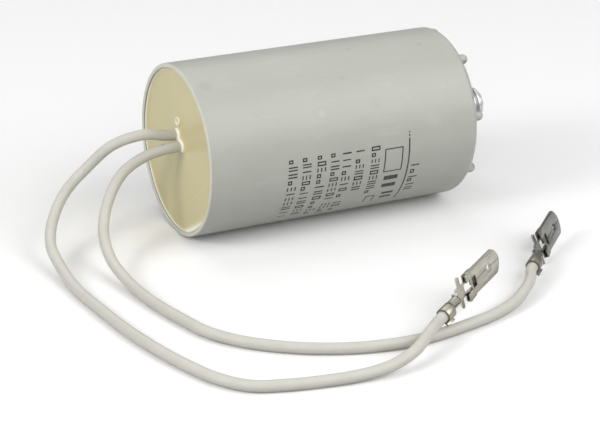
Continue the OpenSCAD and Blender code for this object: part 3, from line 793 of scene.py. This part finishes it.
def stud_mesh():
    """The thread as one screw surface, and behind it the plain shank and the hex head."""
    shape = bmesh.new()
    around = 96
    # one turn of the thread, as shares of the pitch: root, rising flank, crest
    profile = ((0.0, thread_root_r), (0.18, thread_root_r), (0.54, stud_r), (0.70, stud_r))
    turns = math.ceil((stud_tip_x - end_face_x) / pitch) + 2

    def at(x, r, t):
        return (x * mm, -r * math.sin(t) * mm, (can_axis_z + r * math.cos(t)) * mm)

    grid = []
    for k in range(around + 1):
        t = 2 * math.pi * k / around
        row = []
        for turn in range(turns):
            for step, r in profile:
                x = end_face_x - pitch + pitch * (turn + step + k / around)
                tip_limit = stud_r - max(0.0, x - (stud_tip_x - tip_chamfer))
                r = max(min(r, tip_limit), stud_r - tip_chamfer)
                row.append(shape.verts.new(at(min(max(x, end_face_x), stud_tip_x), r, t)))
        grid.append(row)
    for a, b in zip(grid, grid[1:]):
        for i in range(len(a) - 1):
            shape.faces.new((a[i], a[i + 1], b[i + 1], b[i]))
    bmesh.ops.remove_doubles(shape, verts=shape.verts, dist=0.004 * mm)
    bmesh.ops.holes_fill(shape, edges=[e for e in shape.edges if e.is_boundary], sides=0)

    for sides, r_out, x_from, x_to in ((48, shank_r, head_x + head_t, end_face_x + 0.2),
                                       (6, head_af / math.sqrt(3), head_x, head_x + head_t)):
        rings = [[shape.verts.new(at(x, r, 2 * math.pi * k / sides)) for k in range(sides)]
                 for x, r in ((x_from, r_out - head_ease), (x_from + head_ease, r_out),
                              (x_to - head_ease, r_out), (x_to, r_out - head_ease))]
        bridge(shape, rings)
        shape.faces.new(rings[0])
        shape.faces.new(rings[-1][::-1])
    bmesh.ops.recalc_face_normals(shape, faces=shape.faces)
    mesh = bpy.data.meshes.new("threaded_stud")
    shape.to_mesh(mesh)
    shape.free()
    shade_smooth(mesh, 28)
    return mesh


zinc, tree, shader = new_material("zinc_plate", Metallic=1.0)
zinc_noise = add_mottle(tree, object_place(tree), 500.0, 3500.0)
tree.links.new(blend_colours(tree, ramp(tree, zinc_noise["Clouds"], 0.3, 0.7), (0.39, 0.395, 0.40, 1),
                             (0.68, 0.68, 0.68, 1)), shader.inputs["Base Color"])
tree.links.new(ramp(tree, zinc_noise["Clouds"], 0.3, 0.7, 0.3, 0.45), shader.inputs["Roughness"])
stud = add_object("threaded_stud", stud_mesh())
stud.data.materials.append(zinc)
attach(stud, "root")
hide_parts("mounting_stud")

# ---- inside the can -----------------------------------------------------------------
# The film roll on its core with sprayed zinc ends, the spacer under it, the sleeve
# on the inner wire and the two soldered joints. None of them shows from outside.
inside_finishes = {
    # low and high colour, metal, roughness, cloud scale, grain depth in mm
    "film_winding": ((0.50, 0.51, 0.53), (0.66, 0.67, 0.69), 0.7, 0.28, 60.0, 0.01),
    "winding_core": ((0.70, 0.67, 0.57), (0.77, 0.74, 0.65), 0.0, 0.45, 90.0, 0.02),
    "outer_wrap": ((0.62, 0.55, 0.30), (0.74, 0.67, 0.40), 0.0, 0.22, 50.0, 0.005),
    "lead_end_contact": ((0.25, 0.26, 0.28), (0.45, 0.46, 0.48), 0.8, 0.7, 300.0, 0.12),
    "base_end_contact": ((0.25, 0.26, 0.28), (0.45, 0.46, 0.48), 0.8, 0.7, 300.0, 0.12),
    "base_spacer": ((0.68, 0.64, 0.53), (0.75, 0.72, 0.62), 0.0, 0.45, 80.0, 0.02),
    "core_sleeve": ((0.60, 0.58, 0.53), (0.66, 0.65, 0.60), 0.0, 0.5, 250.0, 0.02),
    "solder_joint_a": ((0.42, 0.43, 0.45), (0.60, 0.61, 0.62), 1.0, 0.3, 400.0, 0.03),
    "solder_joint_b": ((0.42, 0.43, 0.45), (0.60, 0.61, 0.62), 1.0, 0.3, 400.0, 0.03),
}
for name, (low, high, metal, rough, clouds, depth) in inside_finishes.items():
    finish, tree, shader = new_material(name, Metallic=metal)
    made = add_mottle(tree, object_place(tree), clouds, 2600.0)
    tree.links.new(blend_colours(tree, ramp(tree, made["Clouds"], 0.3, 0.7), (*low, 1), (*high, 1)),
                   shader.inputs["Base Color"])
    tree.links.new(ramp(tree, made["Clouds"], 0.3, 0.7, rough - 0.06, rough + 0.06),
                   shader.inputs["Roughness"])
    add_bump(tree, shader, made["Grain"], depth * mm, 0.5)
    # the roll's outer film is clear over its metal
    if name == "film_winding":
        shader.inputs["Coat Weight"].default_value = 0.3
    cad_node = frame["nodes"][name]
    cad_node.data.materials.clear()
    cad_node.data.materials.append(finish)

# ---- table and light ------------------------------------------------------------------
# A plain pale table, soft boxes left, right, behind and in front, a small lamp with
# the left one for a crisper edge, and a dim room that is brighter overhead.
bpy.ops.mesh.primitive_plane_add(size=6, location=(0, 0, 0))
table = bpy.context.object
table.name = "table"
paper, tree, shader = new_material("pale_paper", Roughness=0.9)
# the paper is white to look at, but throws back less light, so that undersides stay shaded
bounced = node(tree, "ShaderNodeLightPath").outputs["Is Diffuse Ray"]
tree.links.new(blend_colours(tree, bounced, (0.98, 0.98, 0.98, 1), (0.48, 0.48, 0.48, 1)),
               shader.inputs["Base Color"])
table.data.materials.append(paper)

world = bpy.data.worlds.new("studio")
bpy.context.scene.world = world
world.use_nodes = True
tree = world.node_tree
way = node(tree, "ShaderNodeTexCoord").outputs["Generated"]
up = node(tree, "ShaderNodeSeparateXYZ", {"Vector": way}).outputs["Z"]
room = ramp(tree, up, 0.0, 0.8, smooth=True)
tree.links.new(blend_colours(tree, room, (0.22, 0.22, 0.22, 1), (1, 1, 1, 1)),
               tree.nodes["Background"].inputs["Color"])
# what the metal sees of the room is brighter than the light that it gives
shiny = node(tree, "ShaderNodeLightPath").outputs["Is Glossy Ray"]
tree.links.new(ramp(tree, shiny, 0.0, 1.0, 0.2, 0.8), tree.nodes["Background"].inputs["Strength"])


def soft_box(name, place, size, power):
    """A square light of a size in metres and a power in watts, aimed at the part."""
    data = bpy.data.lights.new(name, "AREA")
    data.size = size
    data.energy = power
    lamp = add_object(name, data)
    turn = (Vector((0, 0, 0.02)) - Vector(place)).to_track_quat("-Z", "Y")
    lamp.matrix_world = Matrix.Translation(place) @ turn.to_matrix().to_4x4()


def from_front(turn, rise, away):
    """A place round the part: turn is counted from its front towards its potted end."""
    a, e = math.radians(turn), math.radians(rise)
    return (-away * math.cos(e) * math.sin(a), -away * math.cos(e) * math.cos(a), away * math.sin(e))


light_away = 0.8
soft_box("left_box", from_front(80, 30, light_away), 0.8, 1.6)
soft_box("left_lamp", from_front(80, 30, light_away), 0.25, 2.0)
soft_box("right_box", from_front(-40, 40, light_away), 0.7, 4.4)
soft_box("back_box", (0, 0.5, 0.8), 0.9, 2.5)
soft_box("front_box", from_front(27, 30, light_away), 0.35, 1.1)
